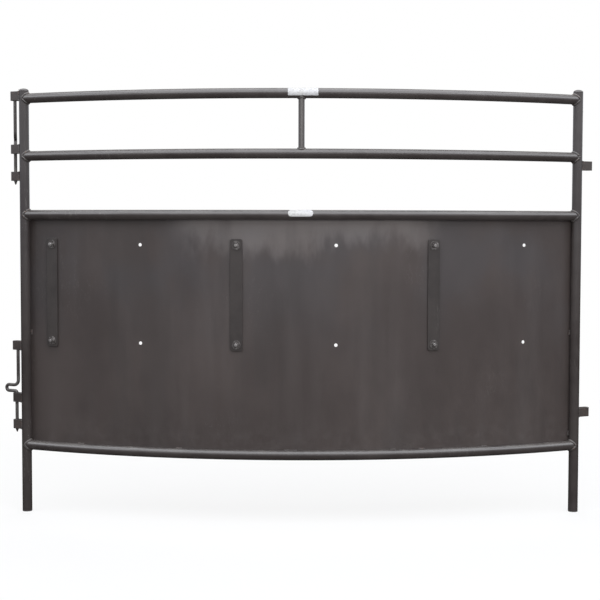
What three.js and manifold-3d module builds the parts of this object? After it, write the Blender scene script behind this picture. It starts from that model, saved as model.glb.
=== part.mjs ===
// A curved stock panel, sheeted over its lower half, that is pinned to its neighbours to make a round pen.
// The model is in millimetres with +Z up. The panel runs along X and its convex side faces -Y.
// While it is built, the middle of the rails' bend is the origin of X and Y and the ground is Z zero.
import * as THREE from 'three';
import { mergeVertices } from 'three/addons/utils/BufferGeometryUtils.js';
import Module from 'manifold-3d';

const wasm = await Module();
wasm.setup();

// Driving dimensions of the frame: the panel's length is measured along the bend between the posts'
// centres, and each rise from the centre line of the rail below
const PANEL_LENGTH = 2420;
const BEND_RADIUS = 2654;
const TUBE_OUTER_RADIUS = 20.65;
const TUBE_WALL = 1.9;
const BOTTOM_RAIL_HEIGHT = 286;
const SHEET_RAIL_RISE = 978;
const SECOND_RAIL_RISE = 247;
const TOP_RAIL_RISE = 242;
const POST_TOP_RISE = 29;
const STAY_OUTER_RADIUS = 12.7;
const STAY_WALL = 1.65;
const CAP_RISE = 13;
const CAP_RIM = 3;
const CAP_SPIGOT_DEPTH = 12;

// Driving dimensions of the sheet, the straps and their fasteners
const SHEET_THICKNESS = 1.9;
const HOLE_SPACING_ALONG = 406.4;
const COLUMNS_MIDDLE = -61;
const COLUMN_COUNT = 6;
const STRAPPED_COLUMNS = { left: 0, centre: 2, right: 4 };
const UPPER_HOLE_DROP = 123;
const HOLE_SPACING_UP = 406.4;
const STRAP_WIDTH = 50.8;
const STRAP_LENGTH = 457.2;
const STRAP_THICKNESS = 6.35;
const STRAP_CORNER_RADIUS = 9;
const BOLT_RADIUS = 6.35;
const BOLT_HOLE_CLEARANCE = 0.75;
const BOLT_HEAD_RADIUS = 13.5;
const BOLT_HEAD_RISE = 6.6;
const BOLT_HEAD_RIM = 1;
const BOLT_PROUD = 4;
const BOLT_CHAMFER = 1.2;
const WASHER_RADIUS = 17.5;
const WASHER_THICKNESS = 2.6;
const NUT_ACROSS_FLATS = 19;
const NUT_HEIGHT = 11;

// Driving dimensions of the connector loops: the upper clevis hangs from the posts' tops, and each loop
// at the right end lies a little below the middle of the clevis that it enters
const LOOP_HEIGHT = 38.1;
const LOOP_BAR_THICKNESS = 4.8;
const LEFT_LOOP_REACH = 50;
const RIGHT_LOOP_REACH = 58;
const UPPER_CLEVIS_DROP = 298;
const LOWER_CLEVIS_HEIGHT = 429;
const CLEVIS_SPACING = 114.3;
const KEEPER_RISE = 223;
const UPPER_RIGHT_LOOP_DROP = 8;
const LOWER_RIGHT_LOOP_DROP = 2;

// Driving dimensions of the drop pins
const ROD_RADIUS = 7;
const ROD_CLEARANCE = 4;
const PIN_OFFSET = 8;
const ARM_SPACING = 25.4;
const HANDLE_REACH = 57.3;
const SHOULDER_BEND_RADIUS = 22;
const HEEL_BEND_RADIUS = 9;
const PIN_TOP_SINK = 6;
const TIP_PROUD = 16;
const TIP_TAPER = 14;
const TIP_END_SHARE = 0.3;
const LOWER_PIN_TURN = Math.PI;
const UPPER_PIN_TURN = THREE.MathUtils.degToRad(127);

// Driving dimensions of the labels: where along the bend, how long, and the lower and upper edges as
// degrees round the rail above its outermost line
const LABEL_THICKNESS = 0.4;
const TOP_LABEL = { middle: 6, length: 122, lowDegrees: -31, highDegrees: 67 };
const SHEET_LABEL = { middle: -3, length: 101, lowDegrees: -17, highDegrees: 80 };

// Clearances: between pieces that are welded or seated, and past each face of a cut
const SEAT_GAP = 0.3;
const CUT_OVERRUN = 5;

// How finely the round shapes are stepped
const TUBE_SIDES = 16;
const ROD_SIDES = 10;
const HOLE_SIDES = 12;
const FASTENER_SIDES = 12;
const BEND_STEPS = 5;
const LOOP_STEPS = 8;
const CAP_STEPS = 4;
const HEAD_STEPS = 3;
const FACETS_PER_COLUMN = 3;
const CORNER_STEPS = 3;
const NUT_SIDES = 6;

// Sizes worked out from the driving dimensions
const SHEET_RAIL_HEIGHT = BOTTOM_RAIL_HEIGHT + SHEET_RAIL_RISE;
const SECOND_RAIL_HEIGHT = SHEET_RAIL_HEIGHT + SECOND_RAIL_RISE;
const TOP_RAIL_HEIGHT = SECOND_RAIL_HEIGHT + TOP_RAIL_RISE;
const POST_HEIGHT = TOP_RAIL_HEIGHT + POST_TOP_RISE;
const UPPER_CLEVIS_HEIGHT = POST_HEIGHT - UPPER_CLEVIS_DROP;
const UPPER_RIGHT_LOOP_HEIGHT = UPPER_CLEVIS_HEIGHT - UPPER_RIGHT_LOOP_DROP;
const LOWER_RIGHT_LOOP_HEIGHT = LOWER_CLEVIS_HEIGHT - LOWER_RIGHT_LOOP_DROP;
const HALF_ANGLE = PANEL_LENGTH / BEND_RADIUS / 2;
const TUBE_INNER_RADIUS = TUBE_OUTER_RADIUS - TUBE_WALL;
const SHEET_RADIUS = BEND_RADIUS - TUBE_OUTER_RADIUS - SEAT_GAP;
const COLUMN_ANGLE = HOLE_SPACING_ALONG / SHEET_RADIUS;
const FACET_ANGLE = COLUMN_ANGLE / FACETS_PER_COLUMN;
const UPPER_HOLE_HEIGHT = SHEET_RAIL_HEIGHT - UPPER_HOLE_DROP;
const LOWER_HOLE_HEIGHT = UPPER_HOLE_HEIGHT - HOLE_SPACING_UP;
const HOLE_RADIUS = BOLT_RADIUS + BOLT_HOLE_CLEARANCE;
const LOOP_INNER_RADIUS = ROD_RADIUS + ROD_CLEARANCE;
const LOOP_OUTER_RADIUS = LOOP_INNER_RADIUS + LOOP_BAR_THICKNESS;
const PIN_AXIS_REACH = LEFT_LOOP_REACH - PIN_OFFSET / 2;
const SHEET_FACE = BEND_RADIUS - SHEET_RADIUS * Math.cos(FACET_ANGLE / 2);

// Materials: dark charcoal-brown paint, worn bare in places on the hardware, and white label stock
const framePaint = { color: 0x46413f, roughness: 0.38, metalness: 0.25 };
const sheetPaint = { color: 0x474241, roughness: 0.42, metalness: 0.2 };
const strapPaint = { color: 0x3f3c3b, roughness: 0.44, metalness: 0.2 };
const loopPaint = { color: 0x444140, roughness: 0.42, metalness: 0.3 };
const fastenerPaint = { color: 0x4f4b49, roughness: 0.45, metalness: 0.4 };
const pinSteel = { color: 0x5e5c59, roughness: 0.5, metalness: 0.5 };
const labelStock = { color: 0xf0f0ee, roughness: 0.55, metalness: 0 };

const panel = new THREE.Group();

function addMesh(parent, name, geometry, finish) {
  const mesh = new THREE.Mesh(geometry, new THREE.MeshStandardMaterial(finish));
  mesh.name = name;
  parent.add(mesh);
  return mesh;
}

// Booleans

function toSolid(geometry) {
  const bare = geometry.clone();
  bare.deleteAttribute('normal');
  bare.deleteAttribute('uv');
  const merged = mergeVertices(bare);
  const vertProperties = merged.attributes.position.array;
  const triVerts = new Uint32Array(merged.index.array);
  return new wasm.Manifold(new wasm.Mesh({ numProp: 3, vertProperties, triVerts }));
}

function cut(geometry, tools) {
  let solid = toSolid(geometry);
  for (const tool of tools) {
    solid = solid.subtract(toSolid(tool));
  }
  const mesh = solid.getMesh();
  const result = new THREE.BufferGeometry();
  result.setAttribute('position', new THREE.BufferAttribute(mesh.vertProperties, 3));
  result.setIndex(new THREE.BufferAttribute(mesh.triVerts, 1));
  return result;
}

// The bend: angles are measured about its centre, from the middle of the panel

function bendPoint(angle, radius) {
  return new THREE.Vector3(radius * Math.sin(angle), BEND_RADIUS - radius * Math.cos(angle), 0);
}

function columnAngle(column) {
  return (COLUMNS_MIDDLE + (column - (COLUMN_COUNT - 1) / 2) * HOLE_SPACING_ALONG) / SHEET_RADIUS;
}

// The tubes and the sheet are bent in flat facets, one of them centred on each column of holes
function bendStations(from, to) {
  const first = columnAngle(0) - FACET_ANGLE / 2;
  const stations = [from];
  for (let step = Math.ceil((from - first) / FACET_ANGLE); first + step * FACET_ANGLE < to; step++) {
    const station = first + step * FACET_ANGLE;
    if (station > from) {
      stations.push(station);
    }
  }
  stations.push(to);
  return stations;
}

const panelStations = bendStations(-HALF_ANGLE, HALF_ANGLE);

// A point on the facets' own line, which runs straight between two stations
function facetPoint(angle) {
  const next = Math.max(panelStations.findIndex((station) => station > angle), 1);
  const middle = (panelStations[next - 1] + panelStations[next]) / 2;
  const half = (panelStations[next] - panelStations[next - 1]) / 2;
  return bendPoint(angle, BEND_RADIUS * Math.cos(half) / Math.cos(angle - middle));
}

// A frame on the bend: X along the panel, Y to the concave side
function bendFrame(angle) {
  const frame = new THREE.Group();
  frame.position.copy(bendPoint(angle, BEND_RADIUS));
  frame.rotation.z = angle;
  panel.add(frame);
  frame.updateMatrix();
  return frame;
}

// A path that is stepped at the points it is given
class SteppedPath extends THREE.Curve {
  constructor(points) {
    super();
    this.points = points;
  }

  getPointAt(share) {
    return this.points[Math.round(share * (this.points.length - 1))].clone();
  }

  getTangentAt(share) {
    const index = Math.round(share * (this.points.length - 1));
    const here = this.points[index];
    const before = this.points[Math.max(index - 1, 0)];
    const after = this.points[Math.min(index + 1, this.points.length - 1)];
    const tangent = new THREE.Vector3();
    for (const [start, end] of [[before, here], [here, after]]) {
      tangent.add(end.clone().sub(start).normalize());
    }
    return tangent.normalize();
  }
}

function sweep(shape, points) {
  const extrudePath = new SteppedPath(points);
  return new THREE.ExtrudeGeometry(shape, { steps: points.length - 1, bevelEnabled: false, extrudePath });
}

// Flat outlines

function ringPoints(radius, sides) {
  const points = [];
  for (let side = 0; side < sides; side++) {
    const angle = 2 * Math.PI * side / sides;
    points.push(new THREE.Vector2(radius * Math.cos(angle), radius * Math.sin(angle)));
  }
  return points;
}

function disc(radius, sides) {
  return new THREE.Shape(ringPoints(radius, sides));
}

function ring(outerRadius, innerRadius, sides) {
  const shape = disc(outerRadius, sides);
  shape.holes.push(new THREE.Path(ringPoints(innerRadius, sides)));
  return shape;
}

function prism(shape, depth, curveSegments = LOOP_STEPS) {
  return new THREE.ExtrudeGeometry(shape, { depth, bevelEnabled: false, curveSegments });
}

// Frame

function railPoints(height) {
  return panelStations.map((angle) => bendPoint(angle, BEND_RADIUS).setZ(height));
}

function postCutter(angle) {
  const cutter = prism(disc(TUBE_OUTER_RADIUS + SEAT_GAP, TUBE_SIDES), POST_HEIGHT);
  cutter.rotateZ(angle);
  const foot = bendPoint(angle, BEND_RADIUS);
  return cutter.translate(foot.x, foot.y, foot.z);
}

function rail(height) {
  const tube = sweep(ring(TUBE_OUTER_RADIUS, TUBE_INNER_RADIUS, TUBE_SIDES), railPoints(height));
  return cut(tube, [postCutter(-HALF_ANGLE), postCutter(HALF_ANGLE)]);
}

function railCutter(height) {
  return sweep(disc(TUBE_OUTER_RADIUS + SEAT_GAP, TUBE_SIDES), railPoints(height));
}

function post() {
  return prism(ring(TUBE_OUTER_RADIUS, TUBE_INNER_RADIUS, TUBE_SIDES), POST_HEIGHT);
}

// A pressed dome with a spigot that sits in the top of the tube
function postCap() {
  const spigotRadius = TUBE_INNER_RADIUS - SEAT_GAP;
  const profile = [
    new THREE.Vector2(0, -CAP_SPIGOT_DEPTH),
    new THREE.Vector2(spigotRadius, -CAP_SPIGOT_DEPTH),
    new THREE.Vector2(spigotRadius, SEAT_GAP),
    new THREE.Vector2(TUBE_OUTER_RADIUS, SEAT_GAP),
  ];
  for (let step = 0; step <= CAP_STEPS; step++) {
    const angle = Math.PI / 2 * step / CAP_STEPS;
    const radius = step < CAP_STEPS ? TUBE_OUTER_RADIUS * Math.cos(angle) : 0;
    profile.push(new THREE.Vector2(radius, CAP_RIM + (CAP_RISE - CAP_RIM) * Math.sin(angle)));
  }
  return new THREE.LatheGeometry(profile, TUBE_SIDES).rotateX(Math.PI / 2);
}

function centreStay() {
  const length = TOP_RAIL_HEIGHT - SECOND_RAIL_HEIGHT;
  const tube = prism(ring(STAY_OUTER_RADIUS, STAY_OUTER_RADIUS - STAY_WALL, HOLE_SIDES), length);
  tube.translate(0, 0, SECOND_RAIL_HEIGHT);
  return cut(tube, [railCutter(TOP_RAIL_HEIGHT), railCutter(SECOND_RAIL_HEIGHT)]);
}

// Sheet: it lies against the backs of the rails and posts, from centre line to centre line

function sheet() {
  const outer = panelStations.map((angle) => bendPoint(angle, SHEET_RADIUS));
  const inner = panelStations.map((angle) => bendPoint(angle, SHEET_RADIUS - SHEET_THICKNESS));
  const corners = [...outer, ...inner.reverse()];
  const strip = new THREE.Shape(corners.map((point) => new THREE.Vector2(point.x, point.y)));
  const plate = prism(strip, SHEET_RAIL_HEIGHT - BOTTOM_RAIL_HEIGHT).translate(0, 0, BOTTOM_RAIL_HEIGHT);
  const drills = [];
  for (let column = 0; column < COLUMN_COUNT; column++) {
    for (const height of [UPPER_HOLE_HEIGHT, LOWER_HOLE_HEIGHT]) {
      const drill = new THREE.CylinderGeometry(HOLE_RADIUS, HOLE_RADIUS, 2 * CUT_OVERRUN, HOLE_SIDES);
      drill.translate(0, SHEET_FACE + SHEET_THICKNESS / 2, height);
      drills.push(drill.applyMatrix4(bendFrame(columnAngle(column)).matrix));
    }
  }
  return cut(plate, drills);
}

// Straps and fasteners, each in the frame of its column

function strap() {
  const x = STRAP_WIDTH / 2;
  const y = STRAP_LENGTH / 2;
  const corner = STRAP_CORNER_RADIUS;
  const shape = new THREE.Shape();
  shape.moveTo(corner - x, -y);
  shape.lineTo(x - corner, -y);
  shape.absarc(x - corner, corner - y, corner, -Math.PI / 2, 0);
  shape.absarc(x - corner, y - corner, corner, 0, Math.PI / 2);
  shape.absarc(corner - x, y - corner, corner, Math.PI / 2, Math.PI);
  shape.absarc(corner - x, corner - y, corner, Math.PI, 3 * Math.PI / 2);
  for (const side of [-1, 1]) {
    const hole = ringPoints(HOLE_RADIUS, HOLE_SIDES);
    hole.forEach((point) => point.setY(point.y + side * HOLE_SPACING_UP / 2));
    shape.holes.push(new THREE.Path(hole));
  }
  return prism(shape, STRAP_THICKNESS, CORNER_STEPS).rotateX(Math.PI / 2);
}

const STRAP_BACK = SHEET_FACE - SEAT_GAP;
const WASHER_BACK = STRAP_BACK - STRAP_THICKNESS - SEAT_GAP;
const NUT_BACK = WASHER_BACK - WASHER_THICKNESS - SEAT_GAP;
const HEAD_FACE = SHEET_FACE + SHEET_THICKNESS + SEAT_GAP;

// The bolt's axis is Y: its round head bears on the inner side of the sheet
function bolt() {
  const end = NUT_BACK - NUT_HEIGHT - BOLT_PROUD;
  const profile = [
    new THREE.Vector2(0, end),
    new THREE.Vector2(BOLT_RADIUS - BOLT_CHAMFER, end),
    new THREE.Vector2(BOLT_RADIUS, end + BOLT_CHAMFER),
    new THREE.Vector2(BOLT_RADIUS, HEAD_FACE),
    new THREE.Vector2(BOLT_HEAD_RADIUS, HEAD_FACE),
  ];
  for (let step = 0; step <= HEAD_STEPS; step++) {
    const angle = Math.PI / 2 * step / HEAD_STEPS;
    const radius = step < HEAD_STEPS ? BOLT_HEAD_RADIUS * Math.cos(angle) : 0;
    const rise = BOLT_HEAD_RIM + (BOLT_HEAD_RISE - BOLT_HEAD_RIM) * Math.sin(angle);
    profile.push(new THREE.Vector2(radius, HEAD_FACE + rise));
  }
  return new THREE.LatheGeometry(profile, FASTENER_SIDES);
}

function washer() {
  const flat = ring(WASHER_RADIUS, BOLT_RADIUS + SEAT_GAP, FASTENER_SIDES);
  return prism(flat, WASHER_THICKNESS).rotateX(Math.PI / 2);
}

function nut() {
  const hexagon = disc(NUT_ACROSS_FLATS / 2 / Math.cos(Math.PI / NUT_SIDES), NUT_SIDES);
  hexagon.holes.push(new THREE.Path(ringPoints(BOLT_RADIUS + SEAT_GAP, FASTENER_SIDES)));
  return prism(hexagon, NUT_HEIGHT).rotateX(Math.PI / 2);
}

// Connector loops: flat bar bent round a pin, with both legs ending against the post

function connectorLoop(reach) {
  const weld = TUBE_OUTER_RADIUS + SEAT_GAP;
  const outerAngle = Math.asin(LOOP_OUTER_RADIUS / weld);
  const innerAngle = Math.asin(LOOP_INNER_RADIUS / weld);
  const shape = new THREE.Shape();
  shape.moveTo(weld * Math.cos(outerAngle), -LOOP_OUTER_RADIUS);
  shape.absarc(reach, 0, LOOP_OUTER_RADIUS, -Math.PI / 2, Math.PI / 2);
  shape.lineTo(weld * Math.cos(outerAngle), LOOP_OUTER_RADIUS);
  shape.lineTo(weld * Math.cos(innerAngle), LOOP_INNER_RADIUS);
  shape.absarc(reach, 0, LOOP_INNER_RADIUS, Math.PI / 2, -Math.PI / 2, true);
  shape.lineTo(weld * Math.cos(innerAngle), -LOOP_INNER_RADIUS);
  return prism(shape, LOOP_HEIGHT).translate(0, 0, -LOOP_HEIGHT / 2);
}

// Drop pins: in the pin's own frame X is the way the handle points, and zero height is the top of the
// loop that the handle rests on

function arcPoints(centreX, centreZ, radius, from, to) {
  const points = [];
  for (let step = 0; step <= BEND_STEPS; step++) {
    const angle = from + (to - from) * step / BEND_STEPS;
    const x = centreX + radius * Math.cos(angle);
    const z = centreZ + radius * Math.sin(angle);
    points.push(new THREE.Vector3(x, 0, z));
  }
  return points;
}

function dropPin() {
  const lowerArm = SEAT_GAP + ROD_RADIUS;
  const upperArm = lowerArm + ARM_SPACING;
  const handleRadius = ARM_SPACING / 2;
  const upperX = -PIN_OFFSET / 2;
  const lowerX = PIN_OFFSET / 2;
  const top = KEEPER_RISE - PIN_TOP_SINK;
  const tip = -LOOP_HEIGHT - CLEVIS_SPACING - TIP_PROUD;
  const shoulderZ = upperArm + SHOULDER_BEND_RADIUS;
  const heelZ = lowerArm - HEEL_BEND_RADIUS;
  const eyeX = HANDLE_REACH - handleRadius;
  const eyeZ = lowerArm + handleRadius;
  const quarter = Math.PI / 2;
  const points = [
    new THREE.Vector3(upperX, 0, top),
    ...arcPoints(upperX + SHOULDER_BEND_RADIUS, shoulderZ, SHOULDER_BEND_RADIUS, 2 * quarter, 3 * quarter),
    ...arcPoints(eyeX, eyeZ, handleRadius, quarter, -quarter),
    ...arcPoints(lowerX + HEEL_BEND_RADIUS, heelZ, HEEL_BEND_RADIUS, quarter, 2 * quarter),
    new THREE.Vector3(lowerX, 0, tip + TIP_TAPER),
    new THREE.Vector3(lowerX, 0, tip),
  ];
  const rod = sweep(disc(ROD_RADIUS, ROD_SIDES), points);
  const corners = rod.attributes.position;
  for (let index = 0; index < corners.count; index++) {
    if (corners.getZ(index) < tip + TIP_TAPER / 2) {
      corners.setX(index, lowerX + (corners.getX(index) - lowerX) * TIP_END_SHARE);
      corners.setY(index, corners.getY(index) * TIP_END_SHARE);
    }
  }
  return rod;
}

// Labels: thin stock wrapped over part of a rail, following the rail's flats

function flatRingPoint(radius, angle) {
  const side = 2 * Math.PI / TUBE_SIDES;
  const middle = (Math.floor(angle / side) + 0.5) * side;
  const reach = radius * Math.cos(side / 2) / Math.cos(angle - middle);
  return new THREE.Vector2(-reach * Math.sin(angle), -reach * Math.cos(angle));
}

function labelSection(low, high) {
  const side = 2 * Math.PI / TUBE_SIDES;
  const angles = [low];
  for (let corner = Math.ceil(low / side); corner * side < high; corner++) {
    angles.push(corner * side);
  }
  angles.push(high);
  const back = TUBE_OUTER_RADIUS + SEAT_GAP;
  const inside = angles.map((angle) => flatRingPoint(back, angle));
  const outside = angles.map((angle) => flatRingPoint(back + LABEL_THICKNESS, angle));
  return new THREE.Shape([...inside, ...outside.reverse()]);
}

function label(size, height) {
  const from = (size.middle - size.length / 2) / BEND_RADIUS;
  const to = (size.middle + size.length / 2) / BEND_RADIUS;
  const points = bendStations(from, to).map((angle) => facetPoint(angle).setZ(height));
  const low = THREE.MathUtils.degToRad(size.lowDegrees);
  const high = THREE.MathUtils.degToRad(size.highDegrees);
  return sweep(labelSection(low, high), points);
}

// Assembly

const leftEnd = bendFrame(-HALF_ANGLE);
const rightEnd = bendFrame(HALF_ANGLE);

for (const [side, end] of [['left', leftEnd], ['right', rightEnd]]) {
  addMesh(end, `${side}_post`, post(), framePaint);
  addMesh(end, `${side}_post_cap`, postCap(), framePaint).position.z = POST_HEIGHT;
}

addMesh(panel, 'top_rail', rail(TOP_RAIL_HEIGHT), framePaint);
addMesh(panel, 'second_rail', rail(SECOND_RAIL_HEIGHT), framePaint);
addMesh(panel, 'sheet_rail', rail(SHEET_RAIL_HEIGHT), framePaint);
addMesh(panel, 'bottom_rail', rail(BOTTOM_RAIL_HEIGHT), framePaint);
addMesh(panel, 'centre_stay', centreStay(), framePaint);
addMesh(panel, 'sheet_panel', sheet(), sheetPaint);

for (const [side, column] of Object.entries(STRAPPED_COLUMNS)) {
  const frame = bendFrame(columnAngle(column));
  const bar = addMesh(frame, `${side}_strap`, strap(), strapPaint);
  bar.position.set(0, STRAP_BACK, UPPER_HOLE_HEIGHT - HOLE_SPACING_UP / 2);
  for (const [level, height] of [['upper', UPPER_HOLE_HEIGHT], ['lower', LOWER_HOLE_HEIGHT]]) {
    const place = `${side}_${level}`;
    addMesh(frame, `${place}_bolt`, bolt(), fastenerPaint).position.set(0, 0, height);
    addMesh(frame, `${place}_washer`, washer(), fastenerPaint).position.set(0, WASHER_BACK, height);
    addMesh(frame, `${place}_nut`, nut(), fastenerPaint).position.set(0, NUT_BACK, height);
  }
}

function addLoop(end, name, reach, height, turn) {
  const loop = addMesh(end, name, connectorLoop(reach), loopPaint);
  loop.rotation.z = turn;
  loop.position.z = height;
}

const leftGroups = [
  ['upper', UPPER_CLEVIS_HEIGHT, UPPER_PIN_TURN],
  ['lower', LOWER_CLEVIS_HEIGHT, LOWER_PIN_TURN],
];
for (const [level, clevis, turn] of leftGroups) {
  const clevisTop = clevis + CLEVIS_SPACING / 2;
  addLoop(leftEnd, `${level}_keeper_loop`, LEFT_LOOP_REACH, clevisTop + KEEPER_RISE, Math.PI);
  addLoop(leftEnd, `${level}_clevis_top_loop`, LEFT_LOOP_REACH, clevisTop, Math.PI);
  addLoop(leftEnd, `${level}_clevis_bottom_loop`, LEFT_LOOP_REACH, clevisTop - CLEVIS_SPACING, Math.PI);
  const pin = addMesh(leftEnd, `${level}_drop_pin`, dropPin(), pinSteel);
  pin.position.set(-PIN_AXIS_REACH, 0, clevisTop + LOOP_HEIGHT / 2);
  pin.rotation.z = turn;
}
addLoop(rightEnd, 'upper_right_loop', RIGHT_LOOP_REACH, UPPER_RIGHT_LOOP_HEIGHT, 0);
addLoop(rightEnd, 'lower_right_loop', RIGHT_LOOP_REACH, LOWER_RIGHT_LOOP_HEIGHT, 0);

addMesh(panel, 'top_rail_label', label(TOP_LABEL, TOP_RAIL_HEIGHT), labelStock);
addMesh(panel, 'sheet_rail_label', label(SHEET_LABEL, SHEET_RAIL_HEIGHT), labelStock);

// The origin of the finished part is on the ground, under the middle of its box
const box = new THREE.Box3().setFromObject(panel, true);
const middle = box.getCenter(new THREE.Vector3());
panel.position.set(-middle.x, -middle.y, -box.min.z);

export default panel;
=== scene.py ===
# %% [markdown]
# # A curved stock panel in welded tube and sheet
#
# The panel is one side of a round pen: four tube rails bent to the pen's curve, two posts, a steel sheet
# over the lower half, three bolted straps, and the loops and drop pins that join it to its neighbours. The
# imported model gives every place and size. This file adds the finer shapes, the weld beads and the paint.

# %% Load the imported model
import math
import random

import bmesh
import bpy
from mathutils import Matrix, Vector


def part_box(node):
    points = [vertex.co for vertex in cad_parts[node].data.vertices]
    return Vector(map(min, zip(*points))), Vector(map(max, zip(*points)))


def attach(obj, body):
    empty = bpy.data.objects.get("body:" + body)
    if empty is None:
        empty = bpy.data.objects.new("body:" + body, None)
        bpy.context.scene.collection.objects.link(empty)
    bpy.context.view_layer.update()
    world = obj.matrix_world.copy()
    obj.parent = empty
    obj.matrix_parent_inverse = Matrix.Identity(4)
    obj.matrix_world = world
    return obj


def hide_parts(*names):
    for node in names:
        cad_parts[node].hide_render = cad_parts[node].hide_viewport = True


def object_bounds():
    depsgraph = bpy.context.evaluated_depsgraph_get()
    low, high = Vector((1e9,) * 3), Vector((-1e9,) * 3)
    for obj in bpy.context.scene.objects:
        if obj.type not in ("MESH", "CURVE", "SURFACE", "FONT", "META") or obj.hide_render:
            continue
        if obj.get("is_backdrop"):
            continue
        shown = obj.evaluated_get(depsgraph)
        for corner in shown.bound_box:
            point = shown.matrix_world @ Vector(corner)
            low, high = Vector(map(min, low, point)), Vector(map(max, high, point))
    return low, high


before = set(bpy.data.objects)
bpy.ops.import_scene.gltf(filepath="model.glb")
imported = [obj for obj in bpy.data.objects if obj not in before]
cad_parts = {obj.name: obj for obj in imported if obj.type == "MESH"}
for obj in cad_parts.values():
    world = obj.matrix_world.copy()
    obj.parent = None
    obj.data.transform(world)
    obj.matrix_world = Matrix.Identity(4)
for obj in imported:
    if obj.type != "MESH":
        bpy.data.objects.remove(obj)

cad_low, cad_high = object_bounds()
print("packed model", [round(side, 4) for side in cad_high - cad_low], "m,", len(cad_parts), "nodes")

# %% [markdown]
# ## The curve that everything follows
#
# Seen from above, the rails and the sheet lie on one circle. Its radius is a stock size of the pen, and its
# centre follows from where the posts stand. A frame on the bend has X along the panel, Y to the inner side
# and Z up, so a piece can be modelled flat at the origin and be set in its place in one move.

# %% The bend
BEND_RADIUS = 2.654
QUARTER_TURN = math.pi / 2


def middle_of(node):
    low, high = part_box(node)
    return (low + high) / 2


left_foot, right_foot = middle_of("left_post"), middle_of("right_post")
HALF_ANGLE = math.asin((right_foot.x - left_foot.x) / 2 / BEND_RADIUS)
BEND_CENTRE = Vector(((left_foot.x + right_foot.x) / 2,
                      (left_foot.y + right_foot.y) / 2 + BEND_RADIUS * math.cos(HALF_ANGLE), 0))


def on_bend(angle, height=0.0):
    """The frame at an angle along the bend, which is measured from the middle of the panel."""
    foot = BEND_CENTRE + BEND_RADIUS * Vector((math.sin(angle), -math.cos(angle), 0))
    return Matrix.Translation(foot + Vector((0, 0, height))) @ Matrix.Rotation(angle, 4, "Z")


def angle_of(point):
    """The angle along the bend of a place on the panel."""
    return math.atan2(point.x - BEND_CENTRE.x, BEND_CENTRE.y - point.y)


ENDS = {"left": (on_bend(-HALF_ANGLE), 1), "right": (on_bend(HALF_ANGLE), -1)}
print("the panel spans", round(math.degrees(2 * HALF_ANGLE), 1), "degrees of a circle of", BEND_RADIUS, "m")

# %% [markdown]
# ## Camera
#
# The photograph was taken from nearly six metres away with a longish lens, a little above the panel's
# middle. The camera's place and turn were worked out beforehand from the edges of the rails and posts and
# the rows of holes, so they are plain numbers: where it stands, and how it is turned, tipped and rolled.

# %% Camera
CAMERA_PLACE = Vector((-0.01265, -5.7011, 1.2293))
CAMERA_TURN, CAMERA_TIP, CAMERA_ROLL = -0.00426, 0.055777, 0.002134
CAMERA_LENS, SENSOR_WIDTH = 82.09, 36

bpy.ops.object.camera_add(location=CAMERA_PLACE)
camera = bpy.context.object
camera.name = "camera"
camera.data.lens = CAMERA_LENS
camera.data.sensor_width = SENSOR_WIDTH
turned = Matrix.Rotation(CAMERA_TURN, 4, "Z") @ Matrix.Rotation(QUARTER_TURN - CAMERA_TIP, 4, "X")
camera.matrix_world = Matrix.Translation(CAMERA_PLACE) @ turned @ Matrix.Rotation(CAMERA_ROLL, 4, "Z")
bpy.context.scene.camera = camera
print("camera looks along", [round(side, 4) for side in camera.matrix_world.to_3x3() @ Vector((0, 0, -1))])

# %% [markdown]
# ## Shader sums
#
# A finish is worked out from noise and from the place and slope of the surface, and can be read when it is
# written as sums. The class below wraps one socket: a sum on it adds a Math node, and `node` adds any
# other node, with what goes into its sockets first and then its settings.

# %% A socket that can be reckoned with
class Wire:
    """A socket of a shader tree. Sums on it add Math nodes, and node() adds any other node."""

    def __init__(self, tree, socket=None):
        self.tree = tree
        self.socket = socket

    def node(self, kind, sockets=None, **settings):
        made = self.tree.nodes.new(kind)
        for setting, value in settings.items():
            setattr(made, setting, value)
        for name, value in (sockets or {}).items():
            if isinstance(value, Wire):
                self.tree.links.new(value.socket, made.inputs[name])
            else:
                made.inputs[name].default_value = value
        return Wire(self.tree, made.outputs[0] if made.outputs else None)

    def output(self, name):
        return Wire(self.tree, self.socket.node.outputs[name])

    def math(self, operation, first, second=0.0):
        return self.node("ShaderNodeMath", {0: first, 1: second}, operation=operation)

    def clamped(self):
        return self.node("ShaderNodeClamp", {"Value": self})

    def __add__(self, other):
        return self.math("ADD", self, other)

    def __sub__(self, other):
        return self.math("SUBTRACT", self, other)

    def __rsub__(self, other):
        return self.math("SUBTRACT", other, self)

    def __mul__(self, other):
        return self.math("MULTIPLY", self, other)

    __radd__ = __add__


# %% Noise, slopes and mixes that the finishes share
def grey(level):
    return (level, level, level, 1)


def place_on_piece(wire):
    return wire.node("ShaderNodeTexCoord").output("Object")


def part_of(vector, axis):
    """One of the three numbers of a vector."""
    return vector.node("ShaderNodeSeparateXYZ", {"Vector": vector}).output(axis)


def noise(wire, scale, detail=3.0, roughness=0.55, stretch=(1, 1, 1), shift=(0, 0, 0)):
    """Cloudy noise from 0 to 1, with scale as the number of clouds in a metre."""
    place = wire.node("ShaderNodeMapping", {"Vector": place_on_piece(wire), "Scale": stretch,
                                            "Location": shift})
    return wire.node("ShaderNodeTexNoise", {"Vector": place, "Scale": scale, "Detail": detail,
                                            "Roughness": roughness})


def ramp(value, low, high):
    """Rises smoothly from 0 where the value is low to 1 where it is high."""
    return value.node("ShaderNodeMapRange", {"Value": value, "From Min": low, "From Max": high},
                      interpolation_type="SMOOTHSTEP")


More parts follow.
